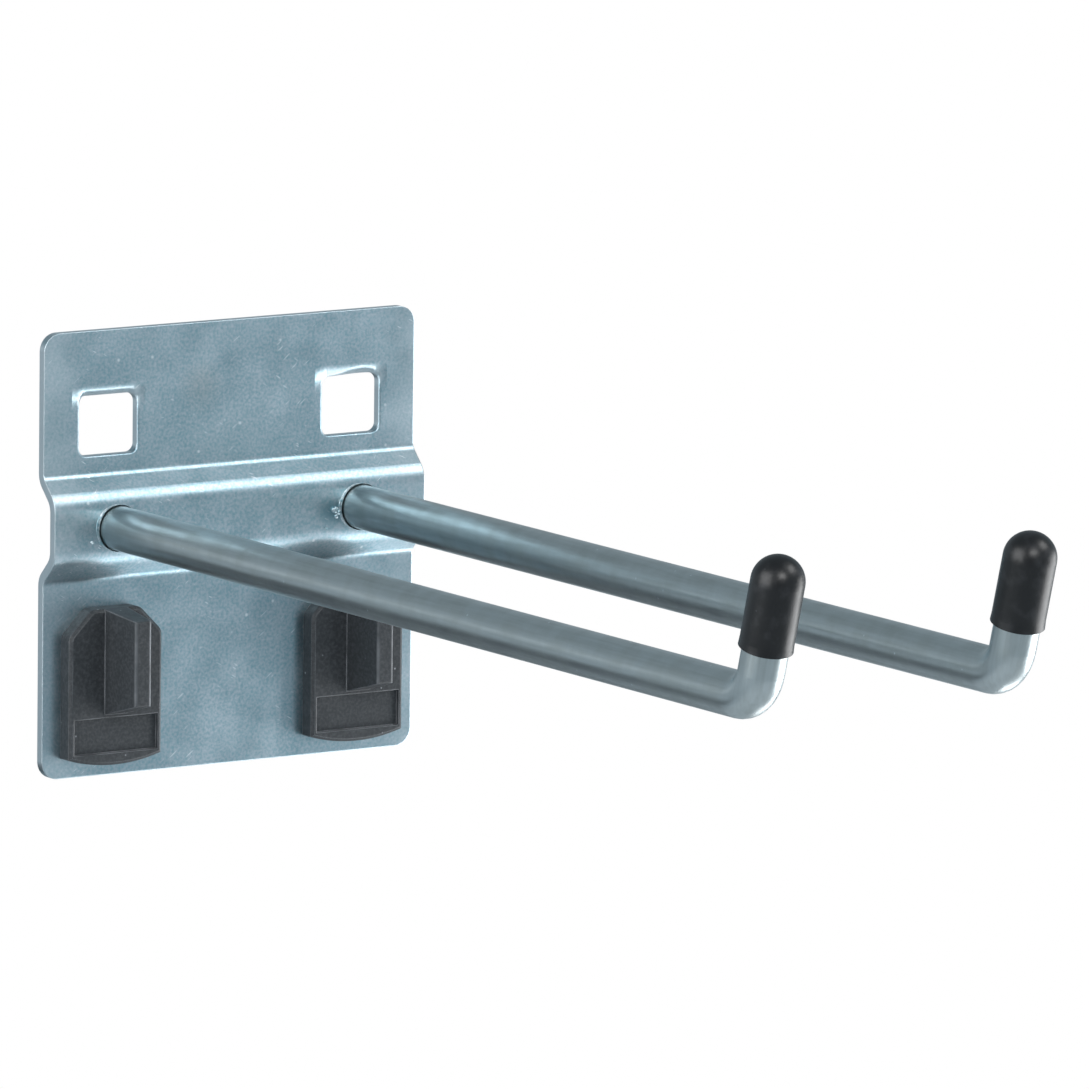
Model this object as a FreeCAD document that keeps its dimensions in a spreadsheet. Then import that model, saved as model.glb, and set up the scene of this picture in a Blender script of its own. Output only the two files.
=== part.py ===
"""Double tool hook for a square-hole perforated panel.

Frame in mm: +X to the right, -Y out of the panel towards the user, +Z up.
The panel face is y = 0. The origin lies midway between the two upper panel holes.
"""
import math
import os

import FreeCAD
import Part
import Sketcher

SIZES = [
    ("panel_pitch", 38.0, "spacing of the panel's square holes, both ways"),
    ("panel_thick", 1.5, "sheet of the panel that the clip barbs reach behind"),
    ("plate_side", 10.0, "plate beyond the hole columns, each side"),
    ("plate_top", 12.3, "plate above the upper hole row"),
    ("plate_foot", 9.7, "plate below the lower hole row"),
    ("plate_corner", 2.4, "corner radius of the plate"),
    ("sheet_thick", 1.25, "plate sheet"),
    ("band_depth", 3.0, "how far the pressed band stands forward"),
    ("band_half", 7.05, "half height of the band where it leaves the plate"),
    ("band_angle", 45.0, "slope of the band's ramps, degrees"),
    ("band_bend", 2.25, "inner radius where the ramps meet the crest"),
    ("foot_bend", 1.3, "inner radius where the ramps meet the plate"),
    ("window_width", 9.0, "punched window that each lug is cut from"),
    ("window_height", 8.0, "open height of the window"),
    ("window_low", 4.5, "window's lower edge below the upper hole row"),
    ("window_corner", 1.2, "corner radius of the window"),
    ("window_roll", 0.3, "rounding that the punch leaves on the window's rim"),
    ("lug_roll", 1.0, "rounding of the rim where the lug bends away"),
    ("lug_room", 2.2, "gap behind the plate that takes the panel sheet"),
    ("lug_bend", 0.6, "inner bend radius of the lug"),
    ("lug_rise", 6.35, "upright leg of the lug above the window's top"),
    ("clip_hole", 10.2, "square plate hole that the clip plug passes"),
    ("clip_hole_corner", 0.4, "corner radius of that hole"),
    ("rod_drop", 14.0, "rod axis below the upper hole row"),
    ("rod_dia", 6.0, "round wire rod"),
    ("rod_play", 0.15, "gap around the rod in the band's hole"),
    ("usable_length", 150.0, "band face to the inner side of the upturned end"),
    ("rod_bend", 5.0, "bend radius on the rod's axis"),
    ("rod_lean", 16.0, "lean of the upturned end away from the panel, degrees"),
    ("tip_length", 19.6, "crossing of the two rod axes to the top of the cap"),
    ("weld_dia", 7.2, "weld button behind the band"),
    ("weld_height", 1.2, "height of the weld button"),
    ("weld_play", 0.05, "weld button clear of the band's trough"),
    ("cap_wall", 0.42, "wall of the dipped cap"),
    ("cap_play", 0.05, "gap between cap and rod"),
    ("cap_start", 7.1, "crossing of the two rod axes to the cap's rim"),
    ("cap_flare", 0.06, "how far the cap widens at its rim"),
    ("cap_flare_height", 1.0, "height over which the cap widens"),
    ("clip_width", 14.4, "clip base, side to side"),
    ("clip_height", 21.2, "clip base, lowest point to top"),
    ("clip_edge_gap", 1.65, "clip base above the plate's bottom edge"),
    ("clip_thick", 2.5, "clip base"),
    ("clip_chamfer", 3.5, "cut top corners of the clip base"),
    ("clip_corner", 1.6, "rounding at both ends of each cut corner"),
    ("clip_sag", 1.1, "bulge of the clip's lower edge"),
    ("clip_bevel", 0.4, "bevel of the clip base's front edge"),
    ("fin_height", 6.9, "grip fin out of the clip base"),
    ("fin_foot", 3.7, "fin width at the base"),
    ("fin_front", 2.45, "fin width at its front edge"),
    ("fin_root", 0.6, "how deep the fin is rooted in the base"),
    ("fin_round", 0.3, "rounding of the fin's edges"),
    ("fin_low", 6.8, "fin foot above the clip's lowest point"),
    ("fin_top_slope", 0.85, "fall of the fin's top towards the front"),
    ("fin_low_slope", 2.1, "rise of the fin's underside towards the front"),
    ("label_rim", 0.7, "rim beside the label recess"),
    ("label_low", 1.7, "label recess above the clip's lowest point"),
    ("label_height", 4.8, "label recess height"),
    ("label_depth", 0.5, "label recess depth"),
    ("plug_play", 0.2, "gap between plug and plate hole, each side"),
    ("plug_length", 5.2, "plug behind the clip base"),
    ("plug_barb", 0.4, "barb beyond the plug's side"),
    ("plug_slot", 2.0, "slot that lets the plug halves flex"),
]

doc = FreeCAD.newDocument("tool_hook")
sheet = doc.addObject("Spreadsheet::Sheet", "sizes")
size = {}
for row, (alias, number, note) in enumerate(SIZES, start=1):
    sheet.set(f"A{row}", note)
    sheet.set(f"B{row}", str(number))
    sheet.setAlias(f"B{row}", alias)
    size[alias] = number
doc.recompute()

# Heights on the plate, measured from its bottom edge
CLIP_ROW = "sizes.plate_foot"
ROW = "(sizes.plate_foot + sizes.panel_pitch)"
PLATE_HEIGHT = f"({ROW} + sizes.plate_top)"
PLATE_WIDTH = "(sizes.panel_pitch + 2 * sizes.plate_side)"
BAND = f"({ROW} - sizes.rod_drop)"
WINDOW = f"({ROW} - sizes.window_low)"
WINDOW_TOP = f"({WINDOW} + sizes.window_height)"
LUG_RUN = f"({WINDOW_TOP} + sizes.sheet_thick)"
LUG_TOP = f"({WINDOW_TOP} + sizes.lug_rise)"
LUG_WIDTH = "(sizes.window_width - 2 * sizes.window_corner)"

# Depths on the plate, measured from the band's front face towards the panel
PLATE_BACK = "(sizes.band_depth + sizes.sheet_thick)"
LEG_FRONT = f"({PLATE_BACK} + sizes.lug_room)"
LEG_BACK = f"({LEG_FRONT} + sizes.sheet_thick)"

# The rod's two axes cross at this distance from the band's back face
REACH = "(sizes.sheet_thick + sizes.usable_length + sizes.rod_dia / 2)"
CAP_RADIUS = "(sizes.rod_dia / 2 + sizes.cap_play + sizes.cap_wall)"
ROD_END = f"(sizes.tip_length - {CAP_RADIUS})"

# The band's back is flat this far from its middle, then curves up by the rise at the weld's edge
TROUGH_FLAT = ("(sizes.band_half - sizes.band_depth / tan(sizes.band_angle)"
               " - (sizes.sheet_thick + sizes.band_bend) * tan(sizes.band_angle / 2))")
TROUGH_EDGE = f"max(0; sizes.weld_dia / 2 - {TROUGH_FLAT})"
TROUGH_RISE = f"(sizes.band_bend - sqrt(sizes.band_bend ^ 2 - {TROUGH_EDGE} ^ 2))"
WELD_SEAT = f"({TROUGH_RISE} + sizes.weld_play)"

PLUG = "(sizes.clip_hole - 2 * sizes.plug_play)"
PLUG_ROW = f"({CLIP_ROW} - sizes.clip_edge_gap)"

# Lengths that differ by less count as the same
NEAR = 0.01

# Ring that an outline's corners lie on until the sheet places them
RING_MIDDLE = FreeCAD.Vector(30, 30, 0)
RING_RADIUS = 20

# What a rounding and a bevel call their size
DRESS_LENGTH = {"Fillet": "Radius", "Chamfer": "Size"}

RIGHTWARD = FreeCAD.Vector(1, 0, 0)
BACKWARD = FreeCAD.Vector(0, 1, 0)
UPWARD = FreeCAD.Vector(0, 0, 1)


def value(formula):
    """What a formula of the sheet's sizes comes to."""
    return float(sheet.evalExpression(formula))


def bind(feature, **formulas):
    """Ties properties of a feature to the sheet."""
    for name, formula in formulas.items():
        feature.setExpression(name.replace("__", "."), formula)


def place(feature, across="0", depth="0", height="0"):
    """Ties the place of a feature to the sheet."""
    bind(feature, Placement__Base__x=across, Placement__Base__y=depth, Placement__Base__z=height)


def turn(feature, axis, angle):
    """Turns a feature about one axis through its own origin."""
    feature.Placement = FreeCAD.Placement(FreeCAD.Vector(), FreeCAD.Rotation(axis, angle))


def new_body(label):
    """One separate piece of the hook."""
    body = doc.addObject("PartDesign::Body", label)
    body.Label = label
    return body


def new_sketch(body, name, role):
    """A sketch on one of the body's own planes."""
    sketch = body.newObject("Sketcher::SketchObject", name)
    plane = next(item for item in body.Origin.OriginFeatures if item.Role == role)
    sketch.AttachmentSupport = [(plane, "")]
    sketch.MapMode = "FlatFace"
    return sketch


def fix_point(sketch, line, end, across, up):
    """Ties one end of a sketch line to the sheet, both ways from the sketch origin."""
    for kind, axis, formula in (("DistanceX", -2, across), ("DistanceY", -1, up)):
        if formula == "0":
            sketch.addConstraint(Sketcher.Constraint("PointOnObject", line, end, axis))
        else:
            row = sketch.addConstraint(Sketcher.Constraint(kind, -1, 1, line, end, 1.0))
            sketch.setExpression(f"Constraints[{row}]", formula)


def box(body, kind, name, across, depth, height, wide, deep, tall):
    """A block added to a body or cut from it."""
    block = body.newObject(f"PartDesign::{kind}Box", name)
    bind(block, Length=wide, Width=deep, Height=tall)
    place(block, across, depth, height)
    return block


def parallel(axis, test):
    """A test for straight edges along an axis whose middle passes another test."""
    return lambda edge: (edge.Curve.TypeId == "Part::GeomLine" and test(edge.CenterOfMass)
                         and abs(edge.tangentAt(edge.FirstParameter).dot(axis)) > 0.999)


def dress_edges(body, kind, name, length, test):
    """Rounds or bevels the edges of the body so far that pass the test."""
    doc.recompute()
    base = body.Tip
    edges = [f"Edge{number}" for number, edge in enumerate(base.Shape.Edges, start=1) if test(edge)]
    if not edges:
        raise RuntimeError(f"{name} found no edge to dress")
    dressed = body.newObject(f"PartDesign::{kind}", name)
    dressed.Base = (base, edges)
    bind(dressed, **{DRESS_LENGTH[kind]: length})
    doc.recompute()


def near(length, target):
    """True where two lengths agree."""
    return abs(length - target) < NEAR


def closed_outline(sketch, corners):
    """Joins corners that are tied to the sheet with straight lines, round to the first one."""
    count = len(corners)
    ring = []
    for step in range(count):
        angle = 2 * math.pi * step / count
        ring.append(RING_MIDDLE + FreeCAD.Vector(math.cos(angle), math.sin(angle), 0) * RING_RADIUS)
    for step in range(count):
        sketch.addGeometry(Part.LineSegment(ring[step], ring[(step + 1) % count]), False)
    for step in range(count):
        sketch.addConstraint(Sketcher.Constraint("Coincident", step, 2, (step + 1) % count, 1))
    for step, (across, up) in enumerate(corners):
        fix_point(sketch, step, 1, across, up)


def add_lug(body, side, centre):
    """Lug that hooks over the panel's sheet, bent back from the window's top edge and up."""
    root = f"({PLATE_BACK} - sizes.sheet_thick / 2)"
    corners = [(root, WINDOW_TOP), (LEG_BACK, WINDOW_TOP), (LEG_BACK, LUG_TOP), (LEG_FRONT, LUG_TOP),
               (LEG_FRONT, LUG_RUN), (root, LUG_RUN)]
    section = new_sketch(body, f"lug_section_{side}", "YZ_Plane")
    bind(section, AttachmentOffset__Base__z=centre)
    closed_outline(section, corners)
    pad = body.newObject("PartDesign::Pad", f"lug_{side}")
    pad.Profile = section
    pad.SideType = "Symmetric"
    bind(pad, Length=LUG_WIDTH)
    bends = {
        "heel": (LEG_BACK, WINDOW_TOP, "sizes.lug_bend + sizes.sheet_thick"),
        "seat": (LEG_FRONT, LUG_RUN, "sizes.lug_bend"),
        "root": (PLATE_BACK, LUG_RUN, "sizes.lug_bend"),
    }
    column = value(centre)
    half = value(LUG_WIDTH) / 2
    for name, (depth, height, radius) in bends.items():
        back, level = value(depth), value(height)
        dress_edges(body, "Fillet", f"lug_{name}_{side}", radius, parallel(RIGHTWARD, lambda mid: (
            near(mid.y, back) and near(mid.z, level) and abs(mid.x - column) < half)))


def roll_window_rims(pressed, label):
    """Rounds the windows' front rims a little, and more towards the top, where the lugs bend away."""
    doc.recompute()
    face = -size["sheet_thick"]
    top = size["window_height"] - size["window_low"]
    low = -size["window_low"] - NEAR
    high = top + NEAR
    reach = size["window_width"] / 2 + NEAR
    column = size["panel_pitch"] / 2
    rolled = doc.addObject("Part::Fillet", label)
    rolled.Label = label
    rolled.Base = pressed
    rims = []
    for number, edge in enumerate(pressed.Shape.Edges, start=1):
        ends = [edge.valueAt(edge.FirstParameter), edge.valueAt(edge.LastParameter)]
        if all(near(end.y, face) and abs(abs(end.x) - column) < reach and low < end.z < high for end in ends):
            radii = [size["lug_roll"] if near(end.z, top) else size["window_roll"] for end in ends]
            rims.append((number, *radii))
    rolled.Edges = rims
    return rolled


def make_plate():
    """Pressed sheet with a raised band, two lugs and the holes for rods and clips."""
    body = new_body("pressed_plate")
    run = "(sizes.band_depth / tan(sizes.band_angle))"
    miter = "(sizes.sheet_thick * tan(sizes.band_angle / 2))"
    half = "sizes.band_half"
    front = "sizes.band_depth"
    inner = "sizes.sheet_thick"
    corners = [
        (front, "0"),
        (front, f"{BAND} - {half}"),
        ("0", f"{BAND} - {half} + {run}"),
        ("0", f"{BAND} + {half} - {run}"),
        (front, f"{BAND} + {half}"),
        (front, PLATE_HEIGHT),
        (PLATE_BACK, PLATE_HEIGHT),
        (PLATE_BACK, f"{BAND} + {half} - {miter}"),
        (inner, f"{BAND} + {half} - {run} - {miter}"),
        (inner, f"{BAND} - {half} + {run} + {miter}"),
        (PLATE_BACK, f"{BAND} - {half} + {miter}"),
        (PLATE_BACK, "0"),
    ]
    section = new_sketch(body, "plate_section", "YZ_Plane")
    closed_outline(section, corners)
    pad = body.newObject("PartDesign::Pad", "plate_sheet")
    pad.Profile = section
    pad.SideType = "Symmetric"
    bind(pad, Length=PLATE_WIDTH)
    place(body, "0", f"-{PLATE_BACK}", f"-{ROW}")

    tall = value(PLATE_HEIGHT)

    def on_sheet(level):
        return lambda mid: near(mid.y, level) and NEAR < mid.z < tall - NEAR

    bends = {
        "crest_front": ("0", "sizes.band_bend + sizes.sheet_thick"),
        "crest_back": (inner, "sizes.band_bend"),
        "foot_front": (front, "sizes.foot_bend"),
        "foot_back": (PLATE_BACK, "sizes.foot_bend + sizes.sheet_thick"),
    }
    for name, (depth, radius) in bends.items():
        dress_edges(body, "Fillet", f"bend_{name}", radius, parallel(RIGHTWARD, on_sheet(value(depth))))
    edge = value(PLATE_WIDTH) / 2
    dress_edges(body, "Fillet", "plate_corners", "sizes.plate_corner", parallel(
        BACKWARD, lambda mid: near(abs(mid.x), edge)))

    sides = {"left": "-sizes.panel_pitch / 2", "right": "sizes.panel_pitch / 2"}
    for side, centre in sides.items():
        box(body, "Subtractive", f"window_{side}", f"{centre} - sizes.window_width / 2", "0", WINDOW,
            "sizes.window_width", PLATE_BACK, "sizes.window_height")
        box(body, "Subtractive", f"clip_hole_{side}", f"{centre} - sizes.clip_hole / 2", "0",
            f"{CLIP_ROW} - sizes.clip_hole / 2", "sizes.clip_hole", PLATE_BACK, "sizes.clip_hole")
        hole = body.newObject("PartDesign::SubtractiveCylinder", f"rod_hole_{side}")
        turn(hole, RIGHTWARD, -90)
        bind(hole, Radius="sizes.rod_dia / 2 + sizes.rod_play", Height=PLATE_BACK)
        place(hole, centre, "0", BAND)
    crest = value(BAND)
    dress_edges(body, "Fillet", "window_corners", "sizes.window_corner", parallel(
        BACKWARD, lambda mid: mid.z > crest and abs(mid.x) < edge - 1))
    dress_edges(body, "Fillet", "clip_hole_corners", "sizes.clip_hole_corner", parallel(
        BACKWARD, lambda mid: mid.z < crest and abs(mid.x) < edge - 1))
    for side, centre in sides.items():
        add_lug(body, side, centre)
    return roll_window_rims(body, "back_plate")


def make_rod(label, sign):
    """Wire rod bent up at its end, and the weld button that holds it behind the band."""
    body = new_body(label)
    weld = body.newObject("PartDesign::AdditiveCone", f"{label}_weld")
    turn(weld, RIGHTWARD, -90)
    bind(weld, Radius1="sizes.weld_dia / 2", Radius2="sizes.rod_dia / 2", Height="sizes.weld_height")
    place(weld, "0", WELD_SEAT, "0")

    reach = value(REACH)
    bend = size["rod_bend"]
    lean = math.radians(size["rod_lean"])
    tangent = bend * math.tan((math.pi / 2 - lean) / 2)
    path = new_sketch(body, f"{label}_path", "YZ_Plane")
    foot = FreeCAD.Vector(value(WELD_SEAT), 0, 0)
    bend_start = FreeCAD.Vector(tangent - reach, 0, 0)
    upward = FreeCAD.Vector(-math.sin(lean), math.cos(lean), 0)
    crossing = FreeCAD.Vector(-reach, 0, 0)
    circle = Part.Circle(FreeCAD.Vector(tangent - reach, bend, 0), UPWARD, bend)
    path.addGeometry(Part.LineSegment(foot, bend_start), False)
    path.addGeometry(Part.ArcOfCircle(circle, math.pi + lean, 1.5 * math.pi), False)
    path.addGeometry(Part.LineSegment(crossing + upward * tangent, crossing + upward * value(ROD_END)), False)
    path.addConstraint(Sketcher.Constraint("Tangent", 0, 2, 1, 2))
    path.addConstraint(Sketcher.Constraint("Tangent", 2, 1, 1, 1))
    path.addConstraint(Sketcher.Constraint("PointOnObject", 0, 2, -1))
    fix_point(path, 0, 1, WELD_SEAT, "0")
    fix_point(path, 2, 2, f"-{REACH} - {ROD_END} * sin(sizes.rod_lean)", f"{ROD_END} * cos(sizes.rod_lean)")
    row = path.addConstraint(Sketcher.Constraint("Radius", 1, bend))
    path.setExpression(f"Constraints[{row}]", "sizes.rod_bend")
    row = path.addConstraint(Sketcher.Constraint("Angle", 2, math.pi / 2 + lean))
    path.setExpression(f"Constraints[{row}]", "90 deg + sizes.rod_lean * 1 deg")

    section = new_sketch(body, f"{label}_section", "XZ_Plane")
    bind(section, AttachmentOffset__Base__z=f"-{WELD_SEAT}")
    section.addGeometry(Part.Circle(FreeCAD.Vector(), UPWARD, size["rod_dia"] / 2), False)
    section.addConstraint(Sketcher.Constraint("Coincident", 0, 3, -1, 1))
    row = section.addConstraint(Sketcher.Constraint("Radius", 0, size["rod_dia"] / 2))
    section.setExpression(f"Constraints[{row}]", "sizes.rod_dia / 2")
    doc.recompute()
    wire = body.newObject("PartDesign::AdditivePipe", f"{label}_wire")
    wire.Profile = section
    wire.Spine = (path, ["Edge1", "Edge2", "Edge3"])
    place(body, f"{sign} * sizes.panel_pitch / 2", "-sizes.band_depth", "-sizes.rod_drop")
    return body


def make_cap(label, sign):
    """Dipped cap seated on the rod's end, a little wider at its rim."""
    body = new_body(label)
    sleeve = body.newObject("PartDesign::AdditiveCylinder", f"{label}_sleeve")
    bind(sleeve, Radius=CAP_RADIUS, Height=f"{ROD_END} - sizes.cap_start")
    place(sleeve, "0", "0", "sizes.cap_start")
    dome = body.newObject("PartDesign::AdditiveSphere", f"{label}_dome")
    dome.Angle1 = 0
    bind(dome, Radius=CAP_RADIUS)
    place(dome, "0", "0", ROD_END)
    flare = body.newObject("PartDesign::AdditiveCone", f"{label}_flare")
    bind(flare, Radius1=f"{CAP_RADIUS} + sizes.cap_flare", Radius2=CAP_RADIUS,
         Height="sizes.cap_flare_height")
    place(flare, "0", "0", "sizes.cap_start")
    bore = body.newObject("PartDesign::SubtractiveCylinder", f"{label}_bore")
    bind(bore, Radius="sizes.rod_dia / 2 + sizes.cap_play", Height=f"{ROD_END} - sizes.cap_start")
    place(bore, "0", "0", "sizes.cap_start")
    turn(body, RIGHTWARD, size["rod_lean"])
    bind(body, Placement__Rotation__Angle="sizes.rod_lean")
    place(body, f"{sign} * sizes.panel_pitch / 2", f"-sizes.band_depth - {REACH}", "-sizes.rod_drop")
    return body


def make_clip(label, sign):
    """Moulded lock clip with a grip fin, a bare label recess and a split plug."""
    body = new_body(label)
    half = size["clip_width"] / 2
    sag = size["clip_sag"]
    tall = size["clip_height"]
    cut = size["clip_chamfer"]
    radius = (half * half + sag * sag) / (2 * sag)
    spread = math.asin(half / radius)
    points = [(half, sag), (half, tall - cut), (half - cut, tall), (cut - half, tall), (-half, tall - cut),
              (-half, sag)]
    sketch = new_sketch(body, f"{label}_outline", "XZ_Plane")
    corners = [FreeCAD.Vector(across, up, 0) for across, up in points]
    for first, second in zip(corners, corners[1:]):
        sketch.addGeometry(Part.LineSegment(first, second), False)
    circle = Part.Circle(FreeCAD.Vector(0, radius, 0), UPWARD, radius)
    arc = Part.ArcOfCircle(circle, 1.5 * math.pi - spread, 1.5 * math.pi + spread)
    sketch.addGeometry(arc, False)
    for step in range(4):
        sketch.addConstraint(Sketcher.Constraint("Coincident", step, 2, step + 1, 1))
    sketch.addConstraint(Sketcher.Constraint("Coincident", 4, 2, 5, 1))
    sketch.addConstraint(Sketcher.Constraint("Coincident", 5, 2, 0, 1))
    fix_point(sketch, 0, 1, "sizes.clip_width / 2", "sizes.clip_sag")
    fix_point(sketch, 1, 1, "sizes.clip_width / 2", "sizes.clip_height - sizes.clip_chamfer")
    fix_point(sketch, 2, 1, "sizes.clip_width / 2 - sizes.clip_chamfer", "sizes.clip_height")
    sketch.addConstraint(Sketcher.Constraint("Symmetric", 2, 1, 3, 1, -2))
    sketch.addConstraint(Sketcher.Constraint("Symmetric", 1, 1, 4, 1, -2))
    sketch.addConstraint(Sketcher.Constraint("Symmetric", 0, 1, 4, 2, -2))
    row = sketch.addConstraint(Sketcher.Constraint("Radius", 5, radius))
    sketch.setExpression(f"Constraints[{row}]",
                         "((sizes.clip_width / 2) ^ 2 + sizes.clip_sag ^ 2) / (2 * sizes.clip_sag)")
    pad = body.newObject("PartDesign::Pad", f"{label}_base")
    pad.Profile = sketch
    bind(pad, Length="sizes.clip_thick")
    dress_edges(body, "Fillet", f"{label}_corners", "sizes.clip_corner", parallel(
        BACKWARD, lambda mid: mid.z > tall - cut - NEAR))
    face = -size["clip_thick"]
    dress_edges(body, "Chamfer", f"{label}_front", "sizes.clip_bevel",
                lambda edge: near(edge.CenterOfMass.y, face))

    fin = body.newObject("PartDesign::AdditiveWedge", f"{label}_fin")
    turn(fin, UPWARD, 180)
    bind(fin, Xmin="-sizes.fin_foot / 2", Xmax="sizes.fin_foot / 2",
         Ymin="-sizes.fin_root", Ymax="sizes.fin_height",
         Zmin="sizes.fin_low", Zmax="sizes.clip_height",
         X2min="-sizes.fin_front / 2", X2max="sizes.fin_front / 2",
         Z2min="sizes.fin_low + sizes.fin_low_slope", Z2max="sizes.clip_height - sizes.fin_top_slope")
    place(fin, "0", "-sizes.clip_thick", "0")
    dress_edges(body, "Fillet", f"{label}_fin_edges", "sizes.fin_round",
                lambda edge: near(edge.CenterOfMass.y, face - size["fin_height"]))
    box(body, "Subtractive", f"{label}_label", "sizes.label_rim - sizes.clip_width / 2", "-sizes.clip_thick",
        "sizes.label_low", "sizes.clip_width - 2 * sizes.label_rim", "sizes.label_depth",
        "sizes.label_height")
    box(body, "Additive", f"{label}_plug", f"-{PLUG} / 2", "0", f"{PLUG_ROW} - {PLUG} / 2",
        PLUG, "sizes.plug_length", PLUG)
    barb = body.newObject("PartDesign::AdditiveWedge", f"{label}_barb")
    bind(barb, Xmin=f"-{PLUG} / 2 - sizes.plug_barb", Xmax=f"{PLUG} / 2 + sizes.plug_barb",
         Ymin="sizes.sheet_thick + sizes.panel_thick + sizes.plug_play", Ymax="sizes.plug_length",
         Zmin=f"{PLUG_ROW} - {PLUG} / 4", Zmax=f"{PLUG_ROW} + {PLUG} / 4",
         X2min=f"-{PLUG} / 2", X2max=f"{PLUG} / 2",
         Z2min=f"{PLUG_ROW} - {PLUG} / 4", Z2max=f"{PLUG_ROW} + {PLUG} / 4")
    box(body, "Subtractive", f"{label}_slot", "-sizes.plug_slot / 2", "0", f"{PLUG_ROW} - {PLUG} / 2",
        "sizes.plug_slot", "sizes.plug_length", PLUG)
    place(body, f"{sign} * sizes.panel_pitch / 2", "-sizes.sheet_thick",
          f"-{ROW} + sizes.clip_edge_gap")
    return body


nodes = [make_plate()]
for side_name, side_sign in (("left", "-1"), ("right", "1")):
    nodes.append(make_rod(f"rod_{side_name}", side_sign))
    nodes.append(make_cap(f"cap_{side_name}", side_sign))
    nodes.append(make_clip(f"clip_{side_name}", side_sign))
doc.recompute()

for item in doc.Objects:
    if "Invalid" in item.State or "Error" in item.State:
        raise RuntimeError(f"{item.Label} failed to build")
for node in nodes:
    if node.Shape.isNull() or not node.Shape.isValid() or len(node.Shape.Solids) != 1:
        raise RuntimeError(f"{node.Label} is not one valid solid")

os.makedirs("parts", exist_ok=True)
for node in nodes:
    node.Shape.exportStep(f"parts/{node.Label}.step")
    print(node.Label, round(node.Shape.Volume, 1), node.Shape.optimalBoundingBox(False))
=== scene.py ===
"""Finishes, weld traces and photo stage of a double tool hook for a perforated tool panel."""

import math

import bmesh
import bpy
from mathutils import Matrix, Vector, noise


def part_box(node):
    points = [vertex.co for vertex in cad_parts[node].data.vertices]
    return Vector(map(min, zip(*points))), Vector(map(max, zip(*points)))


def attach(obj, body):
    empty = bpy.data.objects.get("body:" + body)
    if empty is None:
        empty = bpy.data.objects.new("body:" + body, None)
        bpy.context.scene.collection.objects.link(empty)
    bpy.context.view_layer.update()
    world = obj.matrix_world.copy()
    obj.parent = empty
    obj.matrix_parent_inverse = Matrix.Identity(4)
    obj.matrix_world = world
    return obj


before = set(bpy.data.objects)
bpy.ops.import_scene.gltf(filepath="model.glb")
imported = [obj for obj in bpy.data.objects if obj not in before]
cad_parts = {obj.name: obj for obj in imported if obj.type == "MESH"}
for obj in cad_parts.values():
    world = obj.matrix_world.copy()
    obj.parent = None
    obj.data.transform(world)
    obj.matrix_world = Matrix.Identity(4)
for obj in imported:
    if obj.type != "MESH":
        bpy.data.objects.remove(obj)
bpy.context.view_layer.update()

bl_info = {
    "name": "Double Tool Hook",
    "version": (1, 0, 0),
    "blender": (4, 5, 0),
    "location": "View3D > Sidebar > Tool Hook",
    "description": "Finishes and photo stage of a zinc-plated double tool hook",
    "category": "Object",
}

MM = 0.001
SIDES = ("left", "right")

# Sockets of a Mix node: two colours and the mixed colour, then two numbers and the mixed number
MIX_FIRST, MIX_SECOND, MIX_RESULT = 6, 7, 2
BLEND_FIRST, BLEND_SECOND, BLEND_RESULT = 2, 3, 0

# Axis of the rods at the band, in the hook's frame
ROD_RADIUS = 3 * MM
ROD_HEIGHT = -14 * MM

# Depths between which each rod turns up, and the lean of its upturned end in degrees
BEND_START = -153 * MM
BEND_END = -158 * MM
UPTURN_LEAN = -16

# Scale of the drawing lines' pattern along the wire, beside 1 across it
LINE_STRETCH = 0.04

# Places on the plate in millimetres: brown stain, heat tint, and the windows' distance from its middle
STAIN_PLACE = (-4.5, -1.25, 3.5)
HEAT_PLACE = (14.2, -4.25, -14.4)
WINDOW_ASIDE = 19

# Distances in millimetres from the plate's middle over which a painted reflection makes its coat paler
# towards both sides
REFLECTION_FADE = (22, 29)

# Dip above each window, drawn as a bump and painted as a highlight on the coat, in millimetres: distances
# from the window's middle over which it fades in, and heights over which it does so from above and from below
RIM_ENDS = (5.7, 3.9)
RIM_FADES = ((5.1, 3.0), (1.2, 4.2))

# Front edges of a clip's grip fin: millimetres from its middle, and how strong the painted highlight down
# each is
FIN_EDGE_HIGHLIGHTS = ((-1.225, 0.4), (1.225, 0.9))

# Burrs: steps round the hole and over the roll, depth sunk into the metal, fullest side, share of the
# full size on the other side, how fast it falls off, and the size and fineness of its lumps
RING_STEPS = 120
ROLL_STEPS = 8
SUNK = 0.03 * MM
LIP_MIDDLE = math.radians(170)
LIP_LEAST = 0.12
LIP_FALL = 1.5
LIP_LUMPS = 0.25
LIP_GRAIN = 3

# Offset of the burrs' lumps in the noise, which keeps the two burrs from being alike
LUMP_START = 7

# Spatter beads: height of the middle as a share of the size, flatness, and the size and fineness of lumps
BEAD_RISE = 0.1
BEAD_FLAT = 0.7
BEAD_LUMPS = 0.22
BEAD_GRAIN = 2.5

# Spatter beads beside each rod: millimetres across and up from its axis, and share of the largest bead
BEADS = {
    "left": ((-4.3, -1.6, 0.45),),
    "right": ((-4.3, -0.1, 1.0), (-3.75, -0.45, 0.8), (-4.05, -1.0, 0.6), (-5.6, -2.5, 0.4)),
}


def linear(hex_colour):
    """An sRGB hex colour as a linear RGBA tuple."""
    shares = [int(hex_colour[i:i + 2], 16) / 255 for i in (1, 3, 5)]
    return tuple(c / 12.92 if c <= 0.04045 else ((c + 0.055) / 1.055) ** 2.4 for c in shares) + (1.0,)


def per_mm(size):
    """The texture scale at which one pattern cell is that many millimetres wide."""
    return 1 / (size * MM)


def add_node(tree, kind, inputs=None, output=None, **settings):
    """Adds a node with its settings, links or sets its inputs, and gives one output, or else the node."""
    node = tree.nodes.new(kind)
    for name, value in settings.items():
        setattr(node, name, value)
    for name, value in (inputs or {}).items():
        if isinstance(value, bpy.types.NodeSocket):
            tree.links.new(value, node.inputs[name])
        else:
            node.inputs[name].default_value = value
    return node if output is None else node.outputs[output]


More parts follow.
